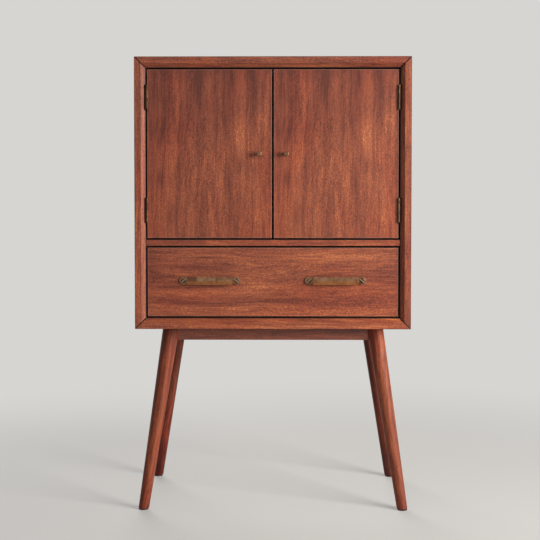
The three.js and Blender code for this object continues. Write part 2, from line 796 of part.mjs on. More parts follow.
// Rails from leg to leg under the case, each end coped to the leg it meets
function makeBaseRails() {
  const z = [caseBottom - apronHeight, caseBottom - seatGap];
  const coping = (side, end) => solidOf(legGeometry(side, end, seatGap));
  const topX = legLine(1, 1).top[0];
  const halfRail = apronThickness / 2;
  for (const [name, end] of ends) {
    const y = legLine(1, end).top[1];
    const rail = solidOf(boxBetween([-topX, topX], [y - halfRail, y + halfRail], z));
    place(`apron_${name}`, geometryOf(cutBy(rail, coping(-1, end), coping(1, end))), walnutRed);
  }
  const [frontY, backY] = [legLine(1, -1).top[1], legLine(1, 1).top[1]];
  for (const [name, side] of sides) {
    const x = [side * (topX - halfRail), side * (topX + halfRail)];
    const rail = solidOf(boxBetween(x, [frontY, backY], z));
    place(`side_rail_${name}`, geometryOf(cutBy(rail, coping(side, -1), coping(side, 1))), walnutRed);
  }
}

makeCase();
makeBackPanel();
makeDividerShelf();
makeAdjustableShelf();
makeStemwareRails();
makeDoorCatch();
makeHinges();
makeDoors();
makeKnobs();
makeFoldOutShelf();
makePulls();
makeDrawerSides();
makeDrawerBox();
makeDrawerRunners();
makePivotBrackets();
makeFlapMagnets();
makeLegs();
makeBaseRails();

export default cabinet;
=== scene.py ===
import math

import bpy
import numpy as np
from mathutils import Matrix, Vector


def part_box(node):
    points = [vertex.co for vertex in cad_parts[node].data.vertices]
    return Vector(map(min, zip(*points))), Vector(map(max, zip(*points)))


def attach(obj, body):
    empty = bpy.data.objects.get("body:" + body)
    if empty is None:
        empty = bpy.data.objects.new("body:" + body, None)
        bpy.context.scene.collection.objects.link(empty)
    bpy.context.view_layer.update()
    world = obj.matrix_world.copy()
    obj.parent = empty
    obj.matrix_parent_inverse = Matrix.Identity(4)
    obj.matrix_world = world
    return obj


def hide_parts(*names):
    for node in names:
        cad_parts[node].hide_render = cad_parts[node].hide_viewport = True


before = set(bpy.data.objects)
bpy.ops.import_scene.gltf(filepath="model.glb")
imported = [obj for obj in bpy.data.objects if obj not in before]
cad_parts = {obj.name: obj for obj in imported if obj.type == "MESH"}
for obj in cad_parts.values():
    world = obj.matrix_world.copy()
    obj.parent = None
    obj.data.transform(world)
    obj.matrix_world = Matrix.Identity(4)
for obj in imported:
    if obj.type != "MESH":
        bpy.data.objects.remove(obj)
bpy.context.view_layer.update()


# Legs: solid stained wood, turned to a straight taper, leaning outwards and cut level at both ends.
# Each is a stack of circles from the foot to the top, with its grain along the leg and the foot's
# lower edge rounded.
leg_foot_radius = 0.01475
leg_top_radius = 0.0232
leg_foot_rounding = 0.0018
leg_foot_steps = 6
leg_rows = 40
leg_around = 56
leg_grain_shift = np.array([0.31, 0.17, 1.7])
# The back legs' lower tones are painted shade, the back right leg's most of all.
leg_tones_and_shade = {"leg_front_left": 0.44, "leg_front_right": 0.44, "leg_back_left": 0.3, "leg_back_right": 0.13}
# A change of tone that paints light and shade: the axis, where it starts and ends along it, and
# how far the tone goes. The feet darken with painted shade, the left legs' tops with painted shade,
# and the right legs' tops lighten with painted light.
leg_foot_painted_shade = (2, 0.14, 0.01, -0.18)
leg_top_light_and_shade = {"left": (2, 0.41, 0.5, -0.1), "right": (2, 0.41, 0.5, 0.03)}


def in_scene(name, data):
    """An object for a mesh, a lamp or a camera, put into the scene."""
    made = bpy.data.objects.new(name, data)
    bpy.context.scene.collection.objects.link(made)
    return made


def mesh_piece(name, shells, material):
    """A smooth object from closed shells of points and faces, with normals weighted by area so
    that flat faces stay flat beside their rounded edges."""
    points, faces, start = [], [], 0
    for shell_points, shell_faces in shells:
        points.append(shell_points)
        faces += [[start + corner for corner in face] for face in shell_faces]
        start += len(shell_points)
    mesh = bpy.data.meshes.new(name)
    mesh.from_pydata(np.concatenate(points).tolist(), [], faces)
    mesh.shade_smooth()
    mesh.set_sharp_from_angle(angle=math.radians(38))
    mesh.materials.append(material)
    piece = in_scene(name, mesh)
    weighted = piece.modifiers.new("normals", "WEIGHTED_NORMAL")
    weighted.keep_sharp = True
    return piece


def stacked(rings):
    """A closed skin over rings of points, as an array of rings by points by 3, with quads between
    neighbouring rings and a cap on the first and the last."""
    here = np.arange(rings.shape[0] * rings.shape[1]).reshape(rings.shape[:2])
    after = np.roll(here, -1, axis=1)
    quads = np.stack([here[:-1], after[:-1], after[1:], here[1:]], -1).reshape(-1, 4)
    return rings.reshape(-1, 3), quads.tolist() + [here[0, ::-1].tolist(), here[-1].tolist()]


def circle(around):
    """Points of a circle of radius 1: the cosine and sine of evenly spaced angles."""
    angle = np.arange(around) * (2 * math.pi / around)
    return np.stack([np.cos(angle), np.sin(angle)], -1)


def lifted(across, height):
    """Flat rings, each raised to its own height."""
    upright = np.broadcast_to(height[:, None, None], (*across.shape[:2], 1))
    return np.concatenate([across, upright], -1)


def colour(red, green, blue):
    """A colour written as 0 to 255 on a screen, turned to linear light."""
    share = np.array([red, green, blue]) / 255
    linear = np.where(share <= 0.04045, share / 12.92, ((share + 0.055) / 1.055) ** 2.4)
    return (*linear.tolist(), 1.0)


def colours(*tints):
    """A list of colours."""
    return [colour(*tint) for tint in tints]


def fed(tree, receiver, inputs):
    """The node, with a value or another node's output put into each input that is named."""
    for key, source in inputs.items():
        if isinstance(source, bpy.types.NodeSocket):
            tree.links.new(source, receiver.inputs[key])
        else:
            receiver.inputs[key].default_value = source
    return receiver


def node(tree, kind, inputs=None, **settings):
    """A shader node with its settings and its inputs."""
    made = tree.nodes.new(kind)
    for name, value in settings.items():
        setattr(made, name, value)
    return fed(tree, made, inputs or {})


def maths(tree, operation, *sources):
    """The result of one sum on values."""
    made = node(tree, "ShaderNodeMath", dict(enumerate(sources)), operation=operation)
    return made.outputs[0]


def swung(tree, value, reach, middle=0.0):
    """A value less a half, times the reach, about a middle."""
    return maths(tree, "MULTIPLY_ADD", maths(tree, "SUBTRACT", value, 0.5), reach, middle)


def vectors(tree, operation, *sources):
    """The result of one sum on vectors."""
    made = node(tree, "ShaderNodeVectorMath", dict(enumerate(sources)), operation=operation)
    return made.outputs[0]


def parts_of(tree, place):
    """The three parts of a place, along X, Y and Z."""
    return node(tree, "ShaderNodeSeparateXYZ", {0: place}).outputs


def object_place(tree):
    """The place on the piece, in metres."""
    return node(tree, "ShaderNodeTexCoord").outputs["Object"]


def ranged(tree, value, low, high, to_low=0.0, to_high=1.0):
    """A value taken smoothly from the range low to high into another range."""
    inputs = {0: value, 1: low, 2: high, 3: to_low, 4: to_high}
    made = node(tree, "ShaderNodeMapRange", inputs, interpolation_type="SMOOTHSTEP")
    return made.outputs[0]


def noise(tree, place, rate, detail=2.0, roughness=0.5):
    """Noise about 0.5 that changes rate times a metre along each axis."""
    scaled = vectors(tree, "MULTIPLY", place, rate)
    inputs = {"Vector": scaled, "Scale": 1.0, "Detail": detail, "Roughness": roughness}
    return node(tree, "ShaderNodeTexNoise", inputs).outputs[0]


def mixed(tree, share, first, second, blend="MIX"):
    """The first colour, with a share of the second laid over it."""
    inputs = {0: share, 6: first, 7: second}
    made = node(tree, "ShaderNodeMix", inputs, data_type="RGBA", blend_type=blend)
    return made.outputs[2]


def ramp(tree, value, tones, low=0.0, high=1.0):
    """Colours by value, with the tones spaced evenly from low to high."""
    made = node(tree, "ShaderNodeValToRGB", {0: value})
    elements = made.color_ramp.elements
    while len(elements) < len(tones):
        elements.new(1.0)
    for element, place, tint in zip(elements, np.linspace(low, high, len(tones)), tones):
        element.position = place
        element.color = tint
    return made.outputs[0]


def relief(tree, strength, distance, height):
    """A normal that follows a height, which stands for the distance in metres where it is 1."""
    inputs = {"Strength": strength, "Distance": distance, "Height": height}
    return node(tree, "ShaderNodeBump", inputs).outputs[0]


def new_group(name, *values):
    """An empty node group that takes a place and gives values: its tree, the place and its end."""
    tree = bpy.data.node_groups.new(name, "ShaderNodeTree")
    tree.interface.new_socket("Place", in_out="INPUT", socket_type="NodeSocketVector")
    for value in values:
        tree.interface.new_socket(value, in_out="OUTPUT", socket_type="NodeSocketFloat")
    place = tree.nodes.new("NodeGroupInput").outputs["Place"]
    return tree, place, tree.nodes.new("NodeGroupOutput")


def values_at(tree, group, place):
    """What a node group gives at a place."""
    return node(tree, "ShaderNodeGroup", {"Place": place}, node_tree=group).outputs


def new_material(name):
    """An empty material, with its node tree and its shader."""
    material = bpy.data.materials.new(name)
    material.use_nodes = True
    tree = material.node_tree
    return material, tree, tree.nodes["Principled BSDF"]


sway_reach = 0.075
shiver_reach = 0.012


def wood_grain():
    """Grain along Z in metres. Streaks are noise drawn out along Z on a place that sways to the
    side with a slower noise. Flecks and pores are finer noise, the pores cut off at a level."""
    tree, place, result = new_group("wood_grain", "Streaks", "Flecks", "Pores", "Warmth")
    slow = noise(tree, place, (6.0, 6.0, 1.9), 1.0)
    quick = noise(tree, place, (26.0, 26.0, 5.0), 1.0)
    shiver = swung(tree, quick, shiver_reach, swung(tree, slow, sway_reach))
    aside = node(tree, "ShaderNodeCombineXYZ", {0: shiver, 1: shiver}).outputs[0]
    swayed = vectors(tree, "ADD", place, aside)
    broad = noise(tree, swayed, (30.0, 30.0, 1.7), 3.0, 0.55)
    narrow = noise(tree, swayed, (135.0, 135.0, 8.0), 3.0, 0.6)
    fibre = noise(tree, swayed, (460.0, 460.0, 20.0))
    flecks = noise(tree, swayed, (400.0, 400.0, 210.0), roughness=0.6)
    pores = noise(tree, swayed, (1150.0, 1150.0, 48.0), 1.0)
    warmth = noise(tree, swayed, (8.0, 8.0, 2.4))
    blend = maths(tree, "MULTIPLY_ADD", narrow, 0.46, maths(tree, "MULTIPLY", broad, 0.5))
    fed(tree, result, {
        "Streaks": ranged(tree, swung(tree, fibre, 0.36, blend), 0.28, 0.68),
        "Flecks": ranged(tree, flecks, 0.3, 0.7),
        "Pores": ranged(tree, pores, 0.6, 0.7),
        "Warmth": ranged(tree, warmth, 0.35, 0.65),
    })
    return tree


grain = wood_grain()
stain_tones = colours((66, 29, 21), (98, 46, 32), (131, 68, 47), (160, 88, 57), (200, 124, 76))
warm_stain = colour(192, 94, 44)
pore_stain = colour(46, 20, 16)
pore_share = 0.4
pore_depth = 0.7
figure_break = (0.7, 0.5)
satin_roughness = (0.54, 0.42)
satin_relief = 0.0004
lacquer_share = 0.13
lacquer_roughness = 0.3


def grain_along(tree, source, turn, offset):
    """The grain's values at a place that is turned to lie along the piece, and shifted."""
    inputs = {"Vector": source, "Location": offset, "Rotation": turn}
    place = node(tree, "ShaderNodeMapping", inputs).outputs[0]
    return values_at(tree, grain, place)


def stained_wood(name, turn=(0, 0, 0), offset=(0, 0, 0), tone=0.5, depth=0.5, fleck=0.34, warmth=0.2,
                 gloss=0.32, painted_light_drift=(), attribute=None, figure=None, centre=(0, 0, 0), marks=None):
    """Red-brown satin-stained wood. The tone is the streaks, spread by depth about the piece's
    own tone, plus the flecks, any placed figure and any changes of tone that paint light and shade,
    and a ramp turns it to colours. The marks are a group and the colour that each of its masks
    lays over the wood: dark lines, painted highlights and painted shade."""
    material, tree, shader = new_material(name)
    source = object_place(tree)
    along = parts_of(tree, source)
    if attribute:
        source = node(tree, "ShaderNodeAttribute", attribute_name=attribute).outputs["Vector"]
    centred = vectors(tree, "SUBTRACT", source, centre)
    wood = grain_along(tree, centred, turn, offset)
    value = swung(tree, wood["Flecks"], fleck, swung(tree, wood["Streaks"], depth, tone))
    if figure:
        placed = values_at(tree, figure, centred)["Tone"]
        broken = maths(tree, "MULTIPLY_ADD", wood["Flecks"], *figure_break)
        value = maths(tree, "MULTIPLY_ADD", placed, broken, value)
    for axis, start, finish, step in painted_light_drift:
        value = maths(tree, "ADD", value, ranged(tree, along[axis], start, finish, 0.0, step))
    tint = ramp(tree, value, stain_tones)
    tint = mixed(tree, maths(tree, "MULTIPLY", wood["Warmth"], warmth), tint, warm_stain, "SOFT_LIGHT")
    tint = mixed(tree, maths(tree, "MULTIPLY", wood["Pores"], pore_share), tint, pore_stain)
    if marks:
        group, mark_tones = marks
        masks = values_at(tree, group, centred)
        for mask, mark_tone in mark_tones.items():
            tint = mixed(tree, masks[mask], tint, mark_tone)
    height = maths(tree, "MULTIPLY_ADD", wood["Pores"], -pore_depth, wood["Flecks"])
    fed(tree, shader, {
        "Base Color": tint,
        "Roughness": ranged(tree, wood["Flecks"], 0.0, 1.0, *satin_roughness),
        "Normal": relief(tree, fleck * 0.6, satin_relief, height),
        "Specular IOR Level": gloss,
        "Coat Weight": gloss * lacquer_share,
        "Coat Roughness": lacquer_roughness,
    })
    return material


for index, (name, tone) in enumerate(leg_tones_and_shade.items()):
    painted_light_drift = [leg_foot_painted_shade, leg_top_light_and_shade[name.split("_")[-1]]]
    wood = stained_wood(name + "_wood", tone=tone, depth=0.54, fleck=0.14, warmth=0.42, gloss=0.18,
                        painted_light_drift=painted_light_drift, attribute="grain")
    low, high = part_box(name)
    outward = np.array([-1 if "left" in name else 1, -1 if "front" in name else 1])
    foot = np.where(outward > 0, high[:2], low[:2]) - outward * leg_foot_radius
    top = np.where(outward > 0, low[:2], high[:2]) + outward * leg_top_radius
    bend = np.linspace(0, math.pi / 2, leg_foot_steps)
    rounded = low.z + leg_foot_rounding * (1 - np.cos(bend))
    height = np.concatenate([rounded, np.linspace(rounded[-1], high.z, leg_rows)[1:]])
    share = (height - low.z) / (high.z - low.z)
    radius = leg_foot_radius + (leg_top_radius - leg_foot_radius) * share
    radius[: len(bend)] -= leg_foot_rounding * (1 - np.sin(bend))
    across = circle(leg_around)[None] * radius[:, None, None]
    centre = foot + (top - foot) * share[:, None]
    rings = lifted(across + centre[:, None], height)
    along_leg = lifted(across, height) + leg_grain_shift * index
    leg = mesh_piece(name + "_turned", [stacked(rings)], wood)
    grain_place = leg.data.attributes.new("grain", "FLOAT_VECTOR", "POINT")
    grain_place.data.foreach_set("vector", along_leg.ravel())
    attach(leg, "cabinet")
    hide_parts(name)


# Glides: thin dark plastic discs under the feet, pressed on, with a rounded rim. They show as the
# dark line between foot and floor.
glide_rounding = 0.0009
glide_around = 40
hub_share = 0.02
worn_plastic = colour(70, 62, 56)


def box_of(name):
    """A node's lowest and highest corners, and its middle."""
    low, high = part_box(name)
    return low, high, (low + high) / 2


def softened(corners, cuts, steps):
    """The corners of an outline, each replaced by the quadratic curve from one cut before it to
    one cut after it that has the corner as its middle control point."""
    corner = np.array(corners, float)
    cut = np.broadcast_to(np.array(cuts, float), len(corner))[:, None]
    ends = []
    for step in (1, -1):
        away = np.roll(corner, step, axis=0) - corner
        ends.append(corner + away / np.linalg.norm(away, axis=1)[:, None] * cut)
    start, finish = ends
    share = np.linspace(0, 1, steps + 1)[None, :, None]
    curve = (1 - share) ** 2 * start[:, None] + share**2 * finish[:, None]
    curve += 2 * share * (1 - share) * corner[:, None]
    return curve.reshape(-1, 2)


axis_frames = {
    "+x": ((0, 1, 0), (0, 0, 1), (1, 0, 0)),
    "-x": ((0, 0, 1), (0, 1, 0), (-1, 0, 0)),
    "+y": ((0, 0, 1), (1, 0, 0), (0, 1, 0)),
    "-y": ((1, 0, 0), (0, 0, 1), (0, -1, 0)),
    "+z": ((1, 0, 0), (0, 1, 0), (0, 0, 1)),
}


def laid(rings, axis, place):
    """Rings made round +Z, turned so that +Z lies along the axis and moved to their place."""
    return rings @ np.array(axis_frames[axis], float) + np.array(place)


def turned(profile, axis, place, around=32):
    """A turned solid: circles whose radius and height are the points of the profile."""
    outline = np.array(profile, float)
    across = circle(around)[None] * outline[:, None, :1]
    return stacked(laid(lifted(across, outline[:, 1]), axis, place))


def disc_profile(radius, bottom, top, rounding, steps=5):
    """Half the section of a disc with both rims rounded, from one face's middle to the other's."""
    hub = radius * hub_share
    outline = softened([(0, bottom), (radius, bottom), (radius, top), (0, top)], rounding, steps)
    rim = outline[steps + 1 : 3 * (steps + 1)]
    return np.concatenate([[(hub, bottom)], rim, [(hub, top)]])


def matt_plastic(name, tint):
    """Moulded plastic: a fine pebbled surface and a slightly uneven gloss."""
    material, tree, shader = new_material(name)
    place = object_place(tree)
    pebble = noise(tree, place, [900.0] * 3)
    cloud = noise(tree, place, [60.0] * 3)
    fed(tree, shader, {
        "Base Color": mixed(tree, ranged(tree, cloud, 0.4, 0.7, 0.0, 0.2), tint, worn_plastic),
        "Roughness": ranged(tree, cloud, 0.3, 0.7, 0.5, 0.7),
        "Normal": relief(tree, 0.3, 0.0002, pebble),
    })
    return material


dark_plastic = matt_plastic("dark_plastic", colour(30, 25, 23))
for leg_name in leg_tones_and_shade:
    name = leg_name.replace("leg", "glide")
    low, high, middle = box_of(name)
    profile = disc_profile((high.x - low.x) / 2, low.z, high.z, glide_rounding)
    disc = turned(profile, "+z", (middle.x, middle.y, 0), glide_around)
    glide = mesh_piece(name + "_moulded", [disc], dark_plastic)
    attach(glide, "cabinet")
    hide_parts(name)


# Base frame: four straight rails of solid wood between the legs, glued and dowelled to them under
# the case. Their grain runs along each rail.
along_x = (0, math.pi / 2, 0)
along_y = (math.pi / 2, 0, 0)


def finish_node(name, material):
    """Gives a node of the frame its finish."""
    for material_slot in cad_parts[name].material_slots:
        material_slot.material = material


# The apron's tone, a little lower than the other rails', and its darkening towards the right are painted
# shade under the case.
apron_wood = stained_wood("apron_front_wood", along_x, (4.1, 0.3, 2.2), 0.42, 0.36, 0.2, warmth=0.0,
                          gloss=0.5, painted_light_drift=[(0, -0.25, 0.25, -0.1)])
finish_node("apron_front", apron_wood)
for rail, turn, offset in (
    ("apron_back", along_x, (1.1, 0.3, 5.2)),
    ("side_rail_left", along_y, (2.3, 0.9, 1.6)),
    ("side_rail_right", along_y, (3.7, 0.2, 0.4)),
):
    finish_node(rail, stained_wood(rail + "_wood", turn, offset, 0.45))


# Case: four veneered boards with solid fronts, mitred at the corners. The grain runs along each
# board and turns the corner at the mitres.
# One dark colour for the mitre and arris lines and for the painted shadow strips in the gaps.
joint_and_shadow_mark = {"Line": colour(30, 22, 21)}
mitre_line = 0.0015
arris_line = 0.0016
shadow_reach = 0.0021
shadow_full = 0.0013
shadow_depth = 0.012
face_y = -0.187
board_thickness = 0.03
# Each board's turn, offset, tone and change of tone. The changes of tone are painted light and shade: the top
# darker and the bottom lighter towards the right, the left side lighter and the right side a little darker
# towards the bottom.
case_boards = {
    "top": (along_x, (0.9, 0.4, 3.1), 0.545, (0, 0.0, 0.38, -0.115)),
    "bottom": (along_x, (2.6, 1.3, 0.7), 0.54, (0, -0.2, 0.38, 0.19)),
    "side_left": ((0, 0, 0), (5.2, 0.7, 1.3), 0.5, (2, 1.1, 0.6, 0.1)),
    "side_right": ((0, 0, 0), (7.9, 2.1, 4.4), 0.52, (2, 1.1, 0.6, -0.03)),
}


def inside_box(tree, place, size):
    """How far a place is in from the sides of a box centred on zero: half the size less the
    place's distance from the middle, along X, Y and Z."""
    from_middle = vectors(tree, "ABSOLUTE", place)
    return parts_of(tree, vectors(tree, "SUBTRACT", size / 2, from_middle))


def mitre_seam_and_shadow(low, high):
    """The mitres' dark glue line, a dark line along the outer arrises, and painted shadow: the dark
    strip round the opening just behind the fronts' faces. A corner's mitre plane is where the distance
    in from the case's side equals the distance in from its top or bottom."""
    tree, place, result = new_group("mitre_seam_and_shadow", "Line")
    y = parts_of(tree, place)[1]
    centred = vectors(tree, "SUBTRACT", place, (low + high) / 2)
    inside_x, from_end, inside_z = inside_box(tree, centred, high - low)
    away = maths(tree, "ABSOLUTE", maths(tree, "SUBTRACT", inside_x, inside_z))
    mitre = ranged(tree, away, mitre_line, mitre_line * 2, 0.95, 0.0)
    inside = maths(tree, "MINIMUM", inside_x, inside_z)
    from_arris = maths(tree, "MAXIMUM", inside, from_end)
    line = maths(tree, "MAXIMUM", mitre, ranged(tree, from_arris, arris_line / 2, arris_line, 0.7, 0.0))
    strip = ranged(tree, inside, board_thickness - shadow_reach, board_thickness - shadow_full, 0.0, 0.9)
    begun = ranged(tree, y, face_y - shadow_reach, face_y - shadow_full)
    faded = ranged(tree, y, face_y + shadow_depth, face_y + shadow_depth / 2)
    strip = maths(tree, "MULTIPLY", maths(tree, "MULTIPLY", strip, begun), faded)
    fed(tree, result, {"Line": maths(tree, "MAXIMUM", line, strip)})
    return tree


mitres_and_shadow = mitre_seam_and_shadow(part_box("case_bottom")[0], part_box("case_top")[1])
for board, (turn, offset, tone, painted_light_drift) in case_boards.items():
    wood = stained_wood(f"case_{board}_wood", turn, offset, tone, painted_light_drift=[painted_light_drift],
                        marks=(mitres_and_shadow, joint_and_shadow_mark))
    finish_node("case_" + board, wood)


# Rail: the front edge of the shelf that divides the doors from the drawer. Its solid edging is
# made of three lengths, so the tone changes at the two joints.
rail_joints = (-0.184, 0.179)
rail_tone_steps = (-0.16, 0.12)
rail_joint_line = 0.0005
rail_shadow_reach = 0.0015
rail_shadow_full = 0.0009


def rail_lengths():
    """The tone of the rail's three lengths: the first step left of the first joint, the second
    step right of the second joint, and nothing between them."""
    tree, place, result = new_group("rail_lengths", "Tone")
    along = parts_of(tree, place)[0]
    first = ranged(tree, along, rail_joints[0] - rail_joint_line, rail_joints[0], rail_tone_steps[0], 0.0)
    second = ranged(tree, along, rail_joints[1], rail_joints[1] + rail_joint_line, 0.0, rail_tone_steps[1])
    fed(tree, result, {"Tone": maths(tree, "ADD", first, second)})
    return tree


def rail_shadow(low, high):
    """The dark strip over and under the rail along its front edge, where the two gaps are."""
    tree, place, result = new_group("rail_shadow", "Line")
    centred = vectors(tree, "SUBTRACT", place, (low + high) / 2)
    inside = inside_box(tree, centred, high - low)[2]
    edges = ranged(tree, inside, rail_shadow_full, rail_shadow_reach, 0.9, 0.0)
    y = parts_of(tree, place)[1]
    faded = ranged(tree, y, face_y + shadow_depth, face_y + shadow_depth / 2)
    fed(tree, result, {"Line": maths(tree, "MULTIPLY", edges, faded)})
    return tree


divider_wood = stained_wood("divider_wood", along_x, (6.3, 1.1, 2.9), 0.61, 0.42, figure=rail_lengths(),
                            marks=(rail_shadow(*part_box("divider_shelf")), joint_and_shadow_mark))
finish_node("divider_shelf", divider_wood)
finish_node("adjustable_shelf", stained_wood("shelf_wood", along_x, (3.3, 2.1, 6.1), depth=0.55))


# Back panel, stemware rails, drawer box and runners: plain hardwood and plywood with a clear
# matt finish, lighter and quieter than the stained wood.
clear_tones = colours((136, 96, 68), (172, 128, 94), (198, 156, 118))
clear_pore = colour(104, 70, 48)


def clear_wood(name, turn, offset):
    """Clear-finished wood: the same grain, faint, with a narrow range of tones."""
    material, tree, shader = new_material(name)
    wood = grain_along(tree, object_place(tree), turn, offset)
    value = maths(tree, "MULTIPLY_ADD", wood["Streaks"], 0.5, 0.2)
    value = maths(tree, "MULTIPLY_ADD", wood["Flecks"], 0.14, value)
    tint = ramp(tree, value, clear_tones)
    fed(tree, shader, {
        "Base Color": mixed(tree, maths(tree, "MULTIPLY", wood["Pores"], 0.3), tint, clear_pore),
        "Roughness": ranged(tree, wood["Flecks"], 0.0, 1.0, 0.68, 0.56),
        "Normal": relief(tree, 0.2, 0.0003, wood["Flecks"]),
    })
    return material


finish_node("case_back", clear_wood("back_panel_ply", (0, 0, 0), (1.7, 0, 3.3)))
for index in range(1, 5):
    finish_node(f"stemware_rail_{index}", clear_wood(f"rail_{index}_wood", along_y, (0.7 * index, 0, 1.9)))
for index, side in enumerate(["left", "right"]):
    finish_node(f"drawer_side_{side}", clear_wood(f"drawer_side_{side}_wood", along_y, (2.7 + index, 0, 4.9)))
    finish_node(f"drawer_runner_{side}", clear_wood(f"runner_{side}_wood", along_y, (6.7 + index, 0, 0.9)))
finish_node("drawer_floor", clear_wood("drawer_floor_ply", along_x, (9.7, 0, 0.9)))
finish_node("drawer_back", clear_wood("drawer_back_wood", along_x, (4.7, 0, 2.9)))


# Doors: flat veneered panels with solid lippings, cut from one sheet, so both show the same
# figure. The placed streaks are the dark and light bands that the eye picks out on each door; the
# widest, across the top and down the left side, are painted shade.
# A painted highlight along the panels' face edges and painted shade on their sides in the gaps.
edge_highlight_and_shade = {"Line": colour(150, 118, 106), "Side": colour(50, 21, 13)}
edge_highlight_width = 0.0022
edge_ease = 0.0008
door_tones = {"left": 0.5, "right": 0.54}
door_sway = (0.016, 0, 0)
streak_rim = 1.5
# Across from the left, down from the top, half width, half length, lean and strength
door_streaks_and_shade = [
    (0.265, 0.37, 0.024, 0.12, 0, -0.22),
    (0.255, 0.68, 0.036, 0.17, 3, -0.18),
    (0.225, 0.9, 0.046, 0.14, 6, -0.17),
    (0.42, 0.13, 0.032, 0.18, 0, -0.14),
    (0.54, 0.24, 0.028, 0.22, 0, -0.13),
    (0.62, 0.31, 0.018, 0.13, 0, -0.21),
    (0.685, 0.08, 0.013, 0.07, 0, -0.18),
    (0.865, 0.18, 0.038, 0.2, 0, -0.12),
    (0.09, 0.36, 0.065, 0.08, 0, -0.18),
    (0.1, 0.64, 0.05, 0.06, 0, -0.17),
    (0.18, 0.87, 0.026, 0.11, 5, -0.15),
    (0.645, 0.66, 0.02, 0.12, 0, -0.19),
    (0.745, 0.57, 0.022, 0.05, 0, -0.13),
    # These three wide bands are painted shade: each door darker along its top and down its left side.
    (0.5, -0.02, 0.62, 0.08, 0, -0.12),
    (0.5, 0.05, 0.9, 0.34, 0, -0.2),
    (0.0, 0.4, 0.16, 0.5, 0, -0.1),
    (0.24, 0.13, 0.016, 0.15, 0, 0.19),
    (0.715, 0.4, 0.028, 0.06, 0, 0.13),
    (0.75, 0.41, 0.11, 0.1, 0, 0.09),
    (0.35, 0.41, 0.034, 0.11, 0, 0.11),
    (0.48, 0.62, 0.072, 0.16, 0, 0.14),
    (0.52, 0.9, 0.026, 0.13, 0, 0.17),
    (0.88, 0.89, 0.03, 0.08, -4, 0.17),
    (0.9, 0.28, 0.009, 0.22, 0, 0.17),
    (0.96, 0.25, 0.022, 0.17, 0, 0.11),
    (0.1, 0.85, 0.036, 0.16, 2, 0.09),
]


def placed_figure(name, size, sway, streaks):
    """Soft streaks laid one by one on a face that is centred on zero. Each is an ellipse, faded
    smoothly from its middle to its rim, on a place that sways with a slow noise."""
    tree, place, result = new_group(name, "Tone")
    upright = sway[0] > 0
    slow = noise(tree, place, (9.0, 0.0, 4.0) if upright else (4.0, 0.0, 9.0))
    centred = maths(tree, "SUBTRACT", slow, 0.5)
    aside = node(tree, "ShaderNodeVectorMath", {0: sway, "Scale": centred}, operation="SCALE")
    swayed = vectors(tree, "ADD", place, aside.outputs[0])
    total = 0.0
    for across, down, half_width, half_length, lean, strength in streaks:
        inputs = {
            "Vector": swayed,
            "Location": ((across - 0.5) * size.x, 0, (0.5 - down) * size.z),
            "Rotation": (0, math.radians(lean), 0),
            "Scale": (half_width * size.x, 1, half_length * size.z),
        }
        local = node(tree, "ShaderNodeMapping", inputs, vector_type="TEXTURE").outputs[0]
        away = node(tree, "ShaderNodeVectorMath", {0: local}, operation="LENGTH").outputs["Value"]
        total = maths(tree, "ADD", total, ranged(tree, away, streak_rim, 0.0, 0.0, strength))
    fed(tree, result, {"Tone": total})
    return tree


def panel_edge_light_and_shade(name, size):
    """The edges of a panel centred on zero, by the distance inside its border: a painted highlight,
    a lighter line on the face gone one line's width inside, and painted shade on the panel's sides."""
    tree, place, result = new_group(name, "Line", "Side")
    inside_x, _, inside_z = inside_box(tree, place, size)
    inside = maths(tree, "MINIMUM", inside_x, inside_z)
    fed(tree, result, {
        "Line": ranged(tree, inside, edge_ease, edge_highlight_width, 0.75, 0.0),
        "Side": ranged(tree, inside, edge_ease / 2, edge_ease * 1.2, 0.84, 0.0),
    })
    return tree


low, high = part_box("door_left")
door_figure_and_shade = placed_figure("door_figure_and_shade", high - low, door_sway, door_streaks_and_shade)
door_edge_light_and_shade = panel_edge_light_and_shade("door_edge_light_and_shade", high - low)
for side in ["left", "right"]:
    veneer = stained_wood(f"door_{side}_veneer", offset=(2.2, 0.4, 1.1), tone=door_tones[side],
                          depth=0.42, figure=door_figure_and_shade, centre=tuple(box_of("door_" + side)[2]),
                          marks=(door_edge_light_and_shade, edge_highlight_and_shade))
    finish_node("door_" + side, veneer)


# Drawer front, which folds down into the shelf: one veneered panel with its grain across. It has
# placed streaks of its own and one tiny knot near the middle.
front_sway = (0, 0, 0.007)
# The same six values as for the doors' streaks
front_streak_shares = [
    (0.02, 0.28, 0.045, 0.2, 0, -0.22),
    (0.24, 0.15, 0.06, 0.018, 0, -0.22),
    (0.18, 0.28, 0.15, 0.055, 0, -0.2),
    (0.06, 0.44, 0.07, 0.022, 0, -0.2),
    (0.06, 0.57, 0.07, 0.024, 0, -0.18),
    (0.25, 0.57, 0.035, 0.022, 0, -0.15),
    (0.31, 0.69, 0.1, 0.024, 0, -0.17),
    (0.2, 0.8, 0.19, 0.04, 0, -0.14),
    (0.7, 0.64, 0.09, 0.026, 0, -0.14),
    (0.94, 0.34, 0.06, 0.045, 0, -0.14),
    (0.86, 0.03, 0.04, 0.03, 0, -0.18),
    (0.2, 0.185, 0.19, 0.018, 0, 0.18),
    (0.43, 0.55, 0.075, 0.08, 0, 0.2),
    (0.75, 0.12, 0.28, 0.11, 0, 0.11),
    (0.75, 0.92, 0.3, 0.13, 0, 0.13),
    (0.35, 0.88, 0.28, 0.03, 0, 0.12),
    (0.6, 0.3, 0.22, 0.08, 0, 0.08),
    (0.547, 0.55, 0.0012, 0.02, 35, -0.75),
]
low, high, middle = box_of("fold_out_shelf")
front_figure = placed_figure("front_figure", high - low, front_sway, front_streak_shares)
front_edge_light_and_shade = panel_edge_light_and_shade("front_edge_light_and_shade", high - low)
